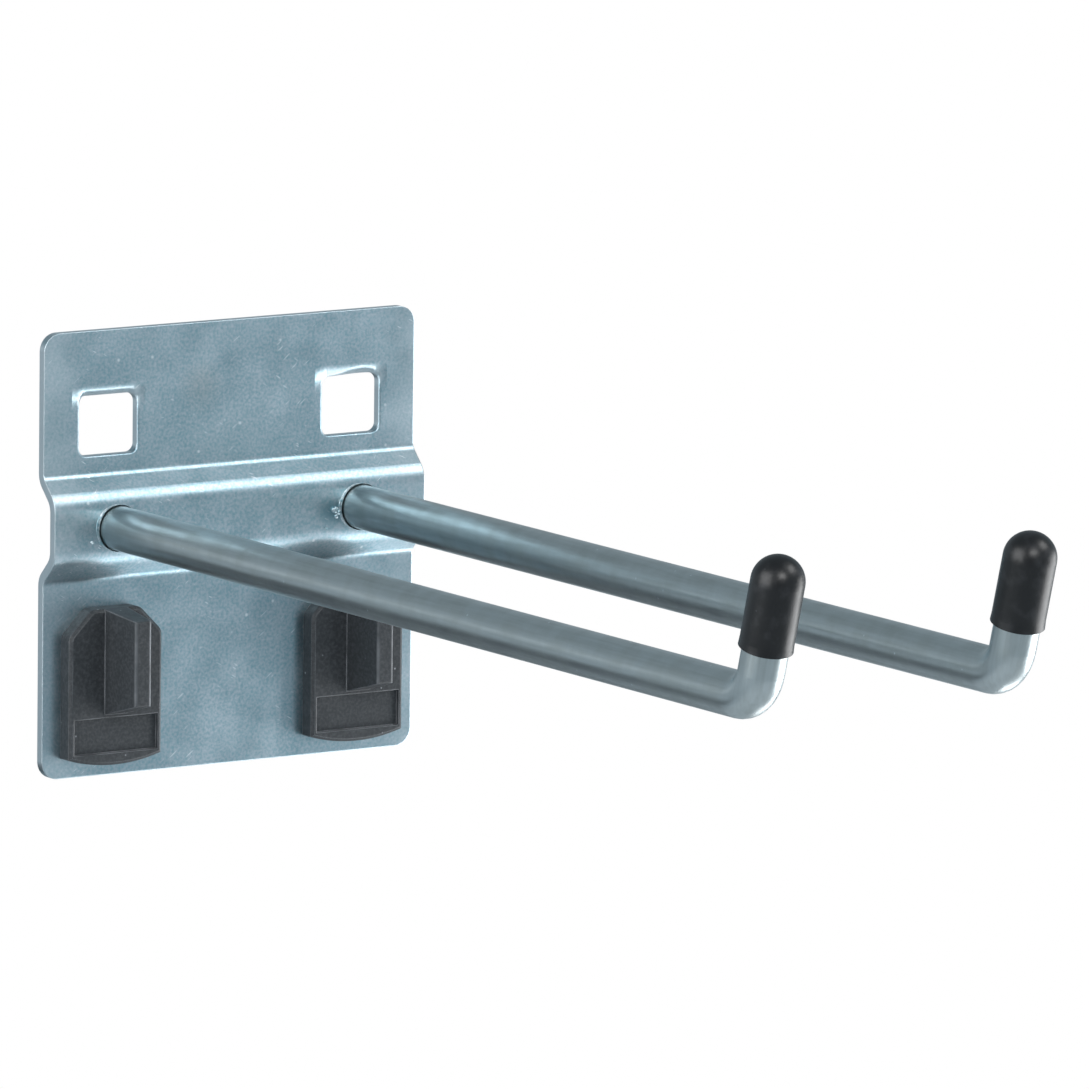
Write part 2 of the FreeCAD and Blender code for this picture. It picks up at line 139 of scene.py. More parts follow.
def new_material(name):
    """An empty node material and its tree."""
    material = bpy.data.materials.new(name)
    material.use_nodes = True
    material.node_tree.nodes.clear()
    return material, material.node_tree


def finish_with(material, objects):
    """Gives the pieces one material in place of what they came with."""
    for piece in objects:
        piece.data.materials.clear()
        piece.data.materials.append(material)


def colour_property(name, description, hex_colour):
    """A colour that a user would change, from its sRGB hex value."""
    return bpy.props.FloatVectorProperty(
        name=name, description=description, subtype="COLOR", size=4, min=0, max=1, default=linear(hex_colour))


def length_property(name, description, millimetres):
    """A length that a user would change, from its size in millimetres."""
    return bpy.props.FloatProperty(
        name=name, description=description, subtype="DISTANCE", unit="LENGTH", default=millimetres * MM)


def angle_property(name, description, degrees):
    """An angle that a user would change, from its size in degrees."""
    return bpy.props.FloatProperty(
        name=name, description=description, subtype="ANGLE", unit="ROTATION", default=math.radians(degrees))


class HookColours(bpy.types.PropertyGroup):
    """Colours of the four materials and their wear."""

    zinc: colour_property("Zinc", "Plated sheet where the coat is even", "#85a7b2")
    zinc_haze: colour_property("Zinc haze", "Plated sheet where the coat is dull", "#b4c0c8")
    # Bare zinc also paints the highlight above each window and the painted reflection on the plate's sides
    zinc_bare_and_sheen: colour_property("Bare zinc", "Sheared edges, burnished rims, specks and nicks", "#d3dce0")
    zinc_stain: colour_property("Stain", "Faint brown stain near the plate's top", "#ab9f94")
    zinc_burnt: colour_property("Heat tint", "Plated sheet beside the weld", "#6f929e")
    wire: colour_property("Wire", "Drawn and plated wire of the rods", "#bdc6c8")
    wire_dull: colour_property("Dull wire", "Streaks along the wire", "#a8b0b0")
    vinyl: colour_property("Vinyl", "Dipped caps of the rod tips", "#0c0c0e")
    vinyl_dust: colour_property("Vinyl dust", "Paler bloom and dust on the caps", "#3a3b3f")
    nylon: colour_property("Nylon", "Moulded clips", "#2e3134")
    # Rubbed nylon also paints the highlights along the clips' edges and grip fins
    nylon_rubbed_and_highlit: colour_property("Rubbed nylon", "Edges and specks of the clips", "#8f9297")


class HookWelds(bpy.types.PropertyGroup):
    """Sizes of the weld traces at the feet of the rods."""

    gap: length_property("Gap", "Gap between each rod and its hole", 0.15)
    lip: length_property("Hole lip", "Width of the burr round each rod's hole", 0.5)
    lip_height: length_property("Lip height", "How far the burr stands off the band", 0.1)
    bead: length_property("Weld bead", "Diameter of the largest spatter bead", 1.0)


class HookStage(bpy.types.PropertyGroup):
    """Camera, floor, room and shade card."""

    azimuth: angle_property("Azimuth", "How far the camera stands to the left of the front", 32.91)
    elevation: angle_property("Elevation", "How far the camera stands above the rods", 9.17)
    roll: angle_property("Roll", "Tilt of the camera about its own axis", 0.67)
    aim: bpy.props.FloatVectorProperty(
        name="Aim", description="Point in the middle of the picture", subtype="TRANSLATION", unit="LENGTH",
        size=3, default=(35.68 * MM, -23.80 * MM, -17.67 * MM))
    distance: length_property("Distance", "From the camera to the aim", 2008.35)
    lens: bpy.props.FloatProperty(
        name="Lens", description="Focal length on a sensor 36 mm wide", subtype="DISTANCE_CAMERA",
        unit="CAMERA", default=495.87)
    floor_drop: length_property("Floor drop", "From the panel's upper holes down to the floor", 500)
    floor: colour_property("Floor", "Pale floor under the hook", "#c6cbcf")
    wall: colour_property("Wall", "Pale walls of the room that the metal mirrors", "#a6b3bb")
    ceiling: colour_property("Ceiling", "Greyer ceiling of that room", "#909da4")
    dim: colour_property("Dim side", "The side of that room with no lamps", "#838e94")
    card: colour_property("Shade card", "Dark card low behind the hook, seen only in its metal", "#55595d")


def rubbed_edges(tree, radius, most):
    """A softened normal, and a mask that is white along edges within about that radius in millimetres."""
    rounded = add_node(tree, "ShaderNodeBevel", {"Radius": radius * MM}, "Normal", samples=8)
    flat = add_node(tree, "ShaderNodeNewGeometry", output="Normal")
    turned = add_node(tree, "ShaderNodeVectorMath", {0: rounded, 1: flat}, "Value", operation="DOT_PRODUCT")
    mask = add_node(tree, "ShaderNodeMapRange", {
        "Value": turned, "From Min": 0.985, "From Max": 0.85, "To Max": most}, "Result")
    return rounded, mask


def speck_mask(tree, place, spacing, size, share):
    """A mask of round specks, one in each cell of that spacing in millimetres that the share lets through."""
    cells = add_node(tree, "ShaderNodeTexVoronoi", {"Vector": place, "Scale": per_mm(spacing)})
    pick = add_node(tree, "ShaderNodeSeparateColor", {"Color": cells.outputs["Color"]}, "Red")
    chosen = add_node(tree, "ShaderNodeMath", {0: pick, 1: share}, "Value", operation="LESS_THAN")
    spot = add_node(tree, "ShaderNodeMapRange", {
        "Value": cells.outputs["Distance"], "From Min": 0.5 * size / spacing,
        "From Max": 0.2 * size / spacing}, "Result")
    return add_node(tree, "ShaderNodeMath", {0: spot, 1: chosen}, "Value", operation="MULTIPLY")


def nick_mask(tree, place, angle, length, width, rarity):
    """A mask of short nicks in groups, at that angle across the sheet, length and width in millimetres."""
    turned = add_node(tree, "ShaderNodeMapping", {
        "Vector": place, "Rotation": (0, math.radians(angle), 0)}, "Vector")
    drawn = add_node(tree, "ShaderNodeMapping", {
        "Vector": turned, "Scale": (1 / length, 1 / length, 1 / width)}, "Vector")
    lines = add_node(tree, "ShaderNodeTexNoise", {"Vector": drawn, "Scale": per_mm(1), "Detail": 0}, "Fac")
    rubs = add_node(tree, "ShaderNodeTexNoise", {"Vector": turned, "Scale": per_mm(9), "Detail": 0}, "Fac")
    cut = add_node(tree, "ShaderNodeMapRange", {
        "Value": lines, "From Min": rarity, "From Max": rarity + 0.04}, "Result")
    group = add_node(tree, "ShaderNodeMapRange", {
        "Value": rubs, "From Min": 0.52, "From Max": 0.64, "To Max": 1.0}, "Result")
    return add_node(tree, "ShaderNodeMath", {0: cut, 1: group}, "Value", operation="MULTIPLY")


def soft_spot(tree, place, middle, inner, outer, most):
    """A soft mask about a point, full within the inner reach and gone past the outer, in millimetres."""
    reach = add_node(tree, "ShaderNodeVectorMath", {
        0: place, 1: [part * MM for part in middle]}, "Value", operation="DISTANCE")
    return add_node(tree, "ShaderNodeMapRange", {
        "Value": reach, "From Min": outer * MM, "From Max": inner * MM, "To Max": most}, "Result")


def plated_sheet(colours):
    """Cold-rolled steel sheet, blue zinc plated and passivated.

    It gives the eye a satin blue grey metal with a fine pale grain and faint clouds. Its coat is painted
    paler towards both sides as a painted reflection, and duller on the stretched lower ramp. Above each
    window the sheet dips, drawn as a bump, with a painted highlight on the dip. It has bright sheared edges,
    a few nicks and specks, one faint stain and a heat tint. Its grain, about 0.05 mm, is drawn at 0.4 mm so
    that it shows.
    """
    material, tree = new_material("blue_zinc_plated_sheet")
    coords = add_node(tree, "ShaderNodeTexCoord")
    place = coords.outputs["Object"]
    clouds = add_node(tree, "ShaderNodeTexNoise", {
        "Vector": place, "Scale": per_mm(5), "Detail": 4, "Roughness": 0.55}, "Fac")
    grain = add_node(tree, "ShaderNodeTexNoise", {
        "Vector": place, "Scale": per_mm(0.4), "Detail": 2}, "Fac")
    cloudy = add_node(tree, "ShaderNodeMapRange", {
        "Value": clouds, "From Min": 0.35, "From Max": 0.65, "To Max": 0.2}, "Result")
    grainy = add_node(tree, "ShaderNodeMapRange", {
        "Value": grain, "From Min": 0.3, "From Max": 0.7, "To Max": 0.8}, "Result")
    mottle = add_node(tree, "ShaderNodeMath", {0: cloudy, 1: grainy}, "Value", operation="ADD")
    coat = add_node(tree, "ShaderNodeMix", {
        "Factor": mottle, MIX_FIRST: colours.zinc, MIX_SECOND: colours.zinc_haze},
        MIX_RESULT, data_type="RGBA")

    parts = add_node(tree, "ShaderNodeSeparateXYZ", {"Vector": place})
    outward = add_node(tree, "ShaderNodeMath", {0: parts.outputs["X"]}, "Value", operation="ABSOLUTE")
    # Painted reflection: the coat is painted paler towards both sides of the plate
    painted_side_reflection = add_node(tree, "ShaderNodeMapRange", {
        "Value": outward, "From Min": REFLECTION_FADE[0] * MM, "From Max": REFLECTION_FADE[1] * MM, "To Max": 0.25},
        "Result")
    aside = add_node(tree, "ShaderNodeMath", {
        0: outward, 1: WINDOW_ASIDE * MM}, "Value", operation="SUBTRACT")
    aside = add_node(tree, "ShaderNodeMath", {0: aside}, "Value", operation="ABSOLUTE")
    # Dip above each window: this mask is a bump and also paints a highlight on the coat
    rim_dip_and_sheen = add_node(tree, "ShaderNodeMapRange", {
        "Value": aside, "From Min": RIM_ENDS[0] * MM, "From Max": RIM_ENDS[1] * MM}, "Result")
    for start, end in RIM_FADES:
        fade = add_node(tree, "ShaderNodeMapRange", {
            "Value": parts.outputs["Z"], "From Min": start * MM, "From Max": end * MM}, "Result",
            interpolation_type="SMOOTHSTEP")
        rim_dip_and_sheen = add_node(tree, "ShaderNodeMath", {0: rim_dip_and_sheen, 1: fade}, "Value", operation="MULTIPLY")
    # Painted highlight above the windows and painted reflection on the sides, both in bare zinc
    bright = add_node(tree, "ShaderNodeMath", {0: painted_side_reflection, 1: rim_dip_and_sheen}, "Value", operation="MAXIMUM")
    coat = add_node(tree, "ShaderNodeMix", {
        "Factor": bright, MIX_FIRST: coat, MIX_SECOND: colours.zinc_bare_and_sheen}, MIX_RESULT, data_type="RGBA")
    stain = soft_spot(tree, place, STAIN_PLACE, inner=1, outer=4, most=0.3)
    patch = add_node(tree, "ShaderNodeMath", {0: stain, 1: clouds}, "Value", operation="MULTIPLY")
    coat = add_node(tree, "ShaderNodeMix", {
        "Factor": patch, MIX_FIRST: coat, MIX_SECOND: colours.zinc_stain}, MIX_RESULT, data_type="RGBA")
    heat = soft_spot(tree, place, HEAT_PLACE, inner=0.6, outer=2.6, most=0.8)
    coat = add_node(tree, "ShaderNodeMix", {
        "Factor": heat, MIX_FIRST: coat, MIX_SECOND: colours.zinc_burnt}, MIX_RESULT, data_type="RGBA")

    facing = add_node(tree, "ShaderNodeSeparateXYZ", {"Vector": coords.outputs["Normal"]})
    sides = [add_node(tree, "ShaderNodeMath", {0: facing.outputs[axis]}, "Value", operation="ABSOLUTE")
             for axis in ("X", "Z")]
    steepest = add_node(tree, "ShaderNodeMath", {0: sides[0], 1: sides[1]}, "Value", operation="MAXIMUM")
    worn = add_node(tree, "ShaderNodeMapRange", {
        "Value": steepest, "From Min": 0.86, "From Max": 0.97, "To Max": 0.75}, "Result")
    normal, rubbed = rubbed_edges(tree, radius=0.22, most=0.6)
    flattened = add_node(tree, "ShaderNodeMapping", {"Vector": place, "Scale": (1, 0, 1)}, "Vector")
    marks = (rubbed, speck_mask(tree, flattened, spacing=3.2, size=0.6, share=0.9),
             nick_mask(tree, flattened, angle=38, length=2, width=0.25, rarity=0.755),
             nick_mask(tree, flattened, angle=-28, length=1.4, width=0.25, rarity=0.75))
    for mark in marks:
        worn = add_node(tree, "ShaderNodeMath", {0: worn, 1: mark}, "Value", operation="MAXIMUM")
    colour = add_node(tree, "ShaderNodeMix", {
        "Factor": worn, MIX_FIRST: coat, MIX_SECOND: colours.zinc_bare_and_sheen}, MIX_RESULT, data_type="RGBA")

    dipped = add_node(tree, "ShaderNodeBump", {
        "Height": rim_dip_and_sheen, "Normal": normal, "Strength": 1.0, "Distance": 0.55 * MM}, "Normal", invert=True)
    rolled = add_node(tree, "ShaderNodeBump", {
        "Height": clouds, "Normal": dipped, "Strength": 0.35, "Distance": 0.06 * MM}, "Normal")
    pitted = add_node(tree, "ShaderNodeBump", {
        "Height": grain, "Normal": rolled, "Strength": 0.4, "Distance": 0.02 * MM}, "Normal")
    satin = add_node(tree, "ShaderNodeMapRange", {
        "Value": clouds, "From Min": 0.3, "From Max": 0.7, "To Min": 0.32, "To Max": 0.41}, "Result")
    stretched = add_node(tree, "ShaderNodeMapRange", {
        "Value": facing.outputs["Z"], "From Min": -0.5, "From Max": -0.68, "To Max": 0.15}, "Result")
    satin = add_node(tree, "ShaderNodeMath", {0: satin, 1: stretched}, "Value", operation="ADD")
    shader = add_node(tree, "ShaderNodeBsdfPrincipled", {
        "Base Color": colour, "Metallic": 1.0, "Roughness": satin, "Normal": pitted}, "BSDF")
    add_node(tree, "ShaderNodeOutputMaterial", {"Surface": shader})
    return material


def drawn_wire(colours):
    """Drawn steel wire, blue zinc plated.

    It gives the eye a smooth satin metal with faint lines that follow the wire, also up its bent end,
    a few dull patches and small bright specks. The drawing lines, about 0.05 mm apart, are drawn 0.5 mm
    apart so that they show.
    """
    material, tree = new_material("blue_zinc_plated_wire")
    place = add_node(tree, "ShaderNodeTexCoord", output="Object")
    streaks = []
    for lean, scale in ((0, (1, LINE_STRETCH, 1)), (UPTURN_LEAN, (1, 1, LINE_STRETCH))):
        turned = add_node(tree, "ShaderNodeMapping", {
            "Vector": place, "Rotation": (math.radians(lean), 0, 0)}, "Vector")
        drawn = add_node(tree, "ShaderNodeMapping", {"Vector": turned, "Scale": scale}, "Vector")
        streaks.append(add_node(tree, "ShaderNodeTexNoise", {
            "Vector": drawn, "Scale": per_mm(0.5), "Detail": 3}, "Fac"))
    depth = add_node(tree, "ShaderNodeSeparateXYZ", {"Vector": place}, "Y")
    bent = add_node(tree, "ShaderNodeMapRange", {
        "Value": depth, "From Min": BEND_START, "From Max": BEND_END}, "Result")
    lines = add_node(tree, "ShaderNodeMix", {
        "Factor": bent, BLEND_FIRST: streaks[0], BLEND_SECOND: streaks[1]}, BLEND_RESULT)
    patches = add_node(tree, "ShaderNodeTexNoise", {
        "Vector": place, "Scale": per_mm(4), "Detail": 5}, "Fac")
    lined = add_node(tree, "ShaderNodeMapRange", {
        "Value": lines, "From Min": 0.35, "From Max": 0.65, "To Max": 0.45}, "Result")
    patched = add_node(tree, "ShaderNodeMapRange", {
        "Value": patches, "From Min": 0.4, "From Max": 0.65, "To Max": 0.5}, "Result")
    dulled = add_node(tree, "ShaderNodeMath", {0: lined, 1: patched}, "Value", operation="ADD")
    coat = add_node(tree, "ShaderNodeMix", {
        "Factor": dulled, MIX_FIRST: colours.wire, MIX_SECOND: colours.wire_dull},
        MIX_RESULT, data_type="RGBA")
    specks = speck_mask(tree, place, spacing=2.5, size=0.4, share=0.5)
    colour = add_node(tree, "ShaderNodeMix", {
        "Factor": specks, MIX_FIRST: coat, MIX_SECOND: colours.zinc_bare_and_sheen}, MIX_RESULT, data_type="RGBA")
    bump = add_node(tree, "ShaderNodeBump", {
        "Height": lines, "Strength": 0.15, "Distance": 0.015 * MM}, "Normal")
    satin = add_node(tree, "ShaderNodeMapRange", {
        "Value": patches, "From Min": 0.35, "From Max": 0.65, "To Min": 0.28, "To Max": 0.36}, "Result")
    shader = add_node(tree, "ShaderNodeBsdfPrincipled", {
        "Base Color": colour, "Metallic": 1.0, "Roughness": satin, "Normal": bump}, "BSDF")
    add_node(tree, "ShaderNodeOutputMaterial", {"Surface": shader})
    return material


def bare_burr(colours):
    """Zinc plated burr and spatter: bright lumpy metal, rubbed on its high spots."""
    material, tree = new_material("zinc_plated_burr")
    place = add_node(tree, "ShaderNodeTexCoord", output="Object")
    lumps = add_node(tree, "ShaderNodeTexNoise", {
        "Vector": place, "Scale": per_mm(0.5), "Detail": 3}, "Fac")
    rubbed = add_node(tree, "ShaderNodeMapRange", {
        "Value": lumps, "From Min": 0.35, "From Max": 0.65}, "Result")
    colour = add_node(tree, "ShaderNodeMix", {
        "Factor": rubbed, MIX_FIRST: colours.zinc, MIX_SECOND: colours.zinc_bare_and_sheen},
        MIX_RESULT, data_type="RGBA")
    bump = add_node(tree, "ShaderNodeBump", {
        "Height": lumps, "Strength": 0.15, "Distance": 0.03 * MM}, "Normal")
    shader = add_node(tree, "ShaderNodeBsdfPrincipled", {
        "Base Color": colour, "Metallic": 1.0, "Roughness": 0.35, "Normal": bump}, "BSDF")
    add_node(tree, "ShaderNodeOutputMaterial", {"Surface": shader})
    return material


def dipped_vinyl(colours):
    """Soft PVC dipped over the rod's end: near black and satin, with faint bloom, dust and orange peel."""
    material, tree = new_material("dipped_soft_pvc")
    place = add_node(tree, "ShaderNodeTexCoord", output="Object")
    bloom = add_node(tree, "ShaderNodeTexNoise", {
        "Vector": place, "Scale": per_mm(2), "Detail": 5}, "Fac")
    dull = add_node(tree, "ShaderNodeMapRange", {
        "Value": bloom, "From Min": 0.5, "From Max": 0.75, "To Max": 0.35}, "Result")
    specks = speck_mask(tree, place, spacing=1.6, size=0.28, share=0.5)
    dusted = add_node(tree, "ShaderNodeMath", {0: dull, 1: specks}, "Value", operation="MAXIMUM")
    colour = add_node(tree, "ShaderNodeMix", {
        "Factor": dusted, MIX_FIRST: colours.vinyl, MIX_SECOND: colours.vinyl_dust},
        MIX_RESULT, data_type="RGBA")
    peel = add_node(tree, "ShaderNodeTexNoise", {
        "Vector": place, "Scale": per_mm(0.6), "Detail": 2}, "Fac")
    bump = add_node(tree, "ShaderNodeBump", {
        "Height": peel, "Strength": 0.25, "Distance": 0.05 * MM}, "Normal")
    satin = add_node(tree, "ShaderNodeMapRange", {
        "Value": bloom, "From Min": 0.3, "From Max": 0.7, "To Min": 0.31, "To Max": 0.41}, "Result")
    shader = add_node(tree, "ShaderNodeBsdfPrincipled", {
        "Base Color": colour, "Roughness": satin, "IOR": 1.5, "Normal": bump}, "BSDF")
    add_node(tree, "ShaderNodeOutputMaterial", {"Surface": shader})
    return material


def moulded_nylon(colours):
    """Injection-moulded nylon.

    It gives the eye a charcoal plastic with a spark-eroded grain, edges paler partly from rubbing and partly
    as painted highlights, painted highlights down the grip fin's front edges, and pale specks. The grain,
    about
    0.1 mm, is drawn at 0.4 mm so that it shows.
    """
    material, tree = new_material("moulded_nylon")
    place = add_node(tree, "ShaderNodeTexCoord", output="Object")
    # Edges are paler partly from rubbing and partly as painted highlights
    normal, rubbed = rubbed_edges(tree, radius=0.3, most=0.75)
    scuffs = add_node(tree, "ShaderNodeTexNoise", {
        "Vector": place, "Scale": per_mm(3), "Detail": 5}, "Fac")
    grain = add_node(tree, "ShaderNodeTexNoise", {
        "Vector": place, "Scale": per_mm(0.4), "Detail": 2}, "Fac")
    patchy = add_node(tree, "ShaderNodeMapRange", {
        "Value": scuffs, "From Min": 0.35, "From Max": 0.65, "To Min": 0.2}, "Result")
    upright = add_node(tree, "ShaderNodeMapping", {"Vector": place, "Scale": (1, 1, 0)}, "Vector")
    # Painted highlights: pale lines down the grip fin's front edges
    for side in SIDES:
        low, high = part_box("clip_" + side)
        for aside, most in FIN_EDGE_HIGHLIGHTS:
            edge = ((low[0] + high[0]) / 2 / MM + aside, low[1] / MM, 0)
            painted_fin_highlight = soft_spot(tree, upright, edge, inner=0.1, outer=0.45, most=most)
            rubbed = add_node(tree, "ShaderNodeMath", {0: rubbed, 1: painted_fin_highlight}, "Value", operation="MAXIMUM")
    worn = add_node(tree, "ShaderNodeMath", {0: rubbed, 1: patchy}, "Value", operation="MULTIPLY")
    frosted = add_node(tree, "ShaderNodeMapRange", {
        "Value": grain, "From Min": 0.4, "From Max": 0.75, "To Max": 0.1}, "Result")
    for mark in (speck_mask(tree, place, spacing=2.2, size=0.35, share=0.7), frosted):
        worn = add_node(tree, "ShaderNodeMath", {0: worn, 1: mark}, "Value", operation="MAXIMUM")
    colour = add_node(tree, "ShaderNodeMix", {
        "Factor": worn, MIX_FIRST: colours.nylon, MIX_SECOND: colours.nylon_rubbed_and_highlit},
        MIX_RESULT, data_type="RGBA")
    bump = add_node(tree, "ShaderNodeBump", {
        "Height": grain, "Normal": normal, "Strength": 0.4, "Distance": 0.04 * MM}, "Normal")
    satin = add_node(tree, "ShaderNodeMapRange", {
        "Value": scuffs, "From Min": 0.3, "From Max": 0.7, "To Min": 0.4, "To Max": 0.52}, "Result")
    shader = add_node(tree, "ShaderNodeBsdfPrincipled", {
        "Base Color": colour, "Roughness": satin, "IOR": 1.42, "Normal": bump}, "BSDF")
    add_node(tree, "ShaderNodeOutputMaterial", {"Surface": shader})
    return material


class HOOK_OT_plate(bpy.types.Operator):
    """Finishes the pressed back plate"""

    bl_idname = "hook.plate"
    bl_label = "Back Plate"

    def execute(self, context):
        finish_with(plated_sheet(context.scene.hook_colours), [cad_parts["back_plate"]])
        return {"FINISHED"}


class HOOK_OT_rods(bpy.types.Operator):
    """Finishes the two wire rods"""

    bl_idname = "hook.rods"
    bl_label = "Rods"

    def execute(self, context):
        finish_with(drawn_wire(context.scene.hook_colours), [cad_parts["rod_" + s] for s in SIDES])
        return {"FINISHED"}


def lump_ring(name, foot, sections):
    """A closed ring of metal round a rod's foot, from its sections of radius and height off the band."""
    shape = bmesh.new()
    rows = []
    for step, section in enumerate(sections):
        angle = 2 * math.pi * step / len(sections)
        outward = Vector((math.cos(angle), 0, math.sin(angle)))
        rows.append([shape.verts.new(foot + radius * outward - Vector((0, height, 0)))
                     for radius, height in section])
    for row, following in zip(rows, rows[1:] + rows[:1]):
        for step in range(len(row)):
            after = (step + 1) % len(row)
            shape.faces.new((row[step], row[after], following[after], following[step]))
    return weld_piece(name, shape)


def weld_piece(name, shape):
    """A smooth piece of weld metal that rides on the hook."""
    bmesh.ops.recalc_face_normals(shape, faces=shape.faces)
    for face in shape.faces:
        face.smooth = True
    mesh = bpy.data.meshes.new(name)
    shape.to_mesh(mesh)
    shape.free()
    piece = bpy.data.objects.new(name, mesh)
    bpy.context.scene.collection.objects.link(piece)
    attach(piece, "root")
    return piece


def hole_lip(name, foot, welds):
    """The burr round a rod's hole: a low roll that is fullest on its left."""
    sections = []
    inner = ROD_RADIUS + welds.gap
    for step in range(RING_STEPS):
        angle = 2 * math.pi * step / RING_STEPS
        full = LIP_LEAST + (1 - LIP_LEAST) * max(0.0, math.cos(angle - LIP_MIDDLE)) ** LIP_FALL
        around = Vector((LIP_GRAIN * math.cos(angle), LIP_GRAIN * math.sin(angle), LUMP_START + foot.x / MM))
        full *= 1 + LIP_LUMPS * noise.noise(around)
        wide, high = welds.lip * full, welds.lip_height * full
        roll = [(inner + wide * (0.5 - 0.5 * math.cos(turn)), high * math.sin(turn))
                for turn in (math.pi * part / ROLL_STEPS for part in range(ROLL_STEPS + 1))]
        sections.append([(inner, -SUNK)] + roll + [(inner + wide, -SUNK)])
    return lump_ring(name, foot, sections)


def spatter(name, foot, beads):
    """Weld beads thrown on the band, each a flattened uneven drop at its place from the rod's axis."""
    shape = bmesh.new()
    for across, up, size in beads:
        drop = bmesh.ops.create_icosphere(shape, subdivisions=3, radius=size / 2)["verts"]
        middle = foot + Vector((across, -BEAD_RISE * size, up))
        for vert in drop:
            uneven = 1 + BEAD_LUMPS * noise.noise(vert.co / size * BEAD_GRAIN + middle / MM)
            vert.co = middle + uneven * Vector((vert.co.x, vert.co.y * BEAD_FLAT, vert.co.z))
    return weld_piece(name, shape)


class HOOK_OT_welds(bpy.types.Operator):
    """Adds the burrs and spatter where the rods meet the band"""

    bl_idname = "hook.welds"
    bl_label = "Weld Traces"

    def execute(self, context):
        welds = context.scene.hook_welds
        colours = context.scene.hook_colours
        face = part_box("back_plate")[0][1]
        burrs = []
        for side in SIDES:
            low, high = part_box("rod_" + side)
            foot = Vector(((low[0] + high[0]) / 2, face, ROD_HEIGHT))
            burrs.append(hole_lip("hole_lip_" + side, foot, welds))
            beads = [(across * MM, up * MM, share * welds.bead) for across, up, share in BEADS[side]]
            burrs.append(spatter("weld_spatter_" + side, foot, beads))
        finish_with(bare_burr(colours), burrs)
        return {"FINISHED"}


class HOOK_OT_caps(bpy.types.Operator):
    """Finishes the two tip caps"""

    bl_idname = "hook.caps"
    bl_label = "Tip Caps"

    def execute(self, context):
        finish_with(dipped_vinyl(context.scene.hook_colours), [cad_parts["cap_" + s] for s in SIDES])
        return {"FINISHED"}


class HOOK_OT_clips(bpy.types.Operator):
    """Finishes the two locking clips"""

    bl_idname = "hook.clips"
    bl_label = "Locking Clips"

    def execute(self, context):
        finish_with(moulded_nylon(context.scene.hook_colours), [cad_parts["clip_" + s] for s in SIDES])
        return {"FINISHED"}


# Stage, in metres: reach of the camera's view, backdrop's distance from the camera and half its side,
# floor's radius and depth of its middle, shade card's middle and half its side
VIEW_REACH = 20
BACKDROP_DISTANCE = 6
BACKDROP_HALF = 0.6
FLOOR_RADIUS = 0.6
FLOOR_MIDDLE = -0.08
CARD_PLACE = (-0.08, 0.4, -0.21)
CARD_HALF = 0.25

# Width of the camera's sensor in millimetres
SENSOR_WIDTH = 36

# Direction from the hook to the room's dim side
DIM_SIDE = (-0.54, -0.82, 0.2)

# Direction from the hook, distance, width and height in metres, and radiance of each lamp
SOFTBOXES = {
    "key_softbox": ((0.536, -0.53, 0.66), 1.2, 0.6, 0.5, 4.4),
    "upper_softbox": ((-0.2, -0.83, 0.46), 1.5, 0.7, 0.5, 6.5),
    "left_softbox": ((-0.95, -0.15, 0.25), 1.2, 1.0, 1.0, 3.5),
    "right_softbox": ((0.918, -0.246, -0.31), 1.0, 0.73, 0.8, 4.7),
    "back_softbox": ((-0.54, 0.83, 0.06), 1.5, 0.8, 0.22, 0.25),
    "low_softbox": ((0.536, -0.30, -0.79), 0.25, 0.12, 0.12, 2.7),
}


def aim_camera(stage):
    """The camera on its long lens, turned from the front by the azimuth, elevation and roll."""
    camera = bpy.data.objects.new("camera", bpy.data.cameras.new("camera"))
    camera.data.sensor_width = SENSOR_WIDTH
    camera.data.lens = stage.lens
    camera.data.clip_end = VIEW_REACH
    turn = (Matrix.Rotation(-stage.azimuth, 4, "Z") @ Matrix.Rotation(math.pi / 2 - stage.elevation, 4, "X")
            @ Matrix.Rotation(stage.roll, 4, "Z"))
    camera.matrix_world = Matrix.Translation(stage.aim) @ turn @ Matrix.Translation((0, 0, stage.distance))
    bpy.context.scene.collection.objects.link(camera)
    bpy.context.scene.camera = camera


def add_softbox(name, direction, distance, width, height, radiance):
    """A rectangular lamp facing the hook from that direction, as bright as a surface of that radiance."""
    lamp = bpy.data.lights.new(name, "AREA")
    lamp.shape = "RECTANGLE"
    lamp.size = width
    lamp.size_y = height
    lamp.energy = radiance * math.pi * width * height
    box = bpy.data.objects.new(name, lamp)
    box.location = Vector(direction).normalized() * distance
    box.rotation_euler = Vector(direction).to_track_quat("Z", "Y").to_euler()
    box.visible_camera = False
    bpy.context.scene.collection.objects.link(box)


def grey_room(stage):
    """A plain room, greyer overhead and on its dim side, which lights the hook and shows in its metal."""
    world = bpy.data.worlds.new("grey_room")
    world.use_nodes = True
    tree = world.node_tree
    tree.nodes.clear()
    toward = add_node(tree, "ShaderNodeTexCoord", output="Generated")
    height = add_node(tree, "ShaderNodeSeparateXYZ", {"Vector": toward}, "Z")
    upward = add_node(tree, "ShaderNodeMapRange", {
        "Value": height, "From Min": 0.05, "From Max": 0.6}, "Result")
    walls = add_node(tree, "ShaderNodeMix", {
        "Factor": upward, MIX_FIRST: stage.wall, MIX_SECOND: stage.ceiling}, MIX_RESULT, data_type="RGBA")
    inward = add_node(tree, "ShaderNodeVectorMath", {
        0: toward, 1: DIM_SIDE}, "Value", operation="DOT_PRODUCT")
    dimmed = add_node(tree, "ShaderNodeMapRange", {
        "Value": inward, "From Min": 0.8, "From Max": 0.97}, "Result")
    colour = add_node(tree, "ShaderNodeMix", {
        "Factor": dimmed, MIX_FIRST: walls, MIX_SECOND: stage.dim}, MIX_RESULT, data_type="RGBA")
    light = add_node(tree, "ShaderNodeBackground", {"Color": colour, "Strength": 1.0}, "Background")
    add_node(tree, "ShaderNodeOutputWorld", {"Surface": light})
    bpy.context.scene.world = world


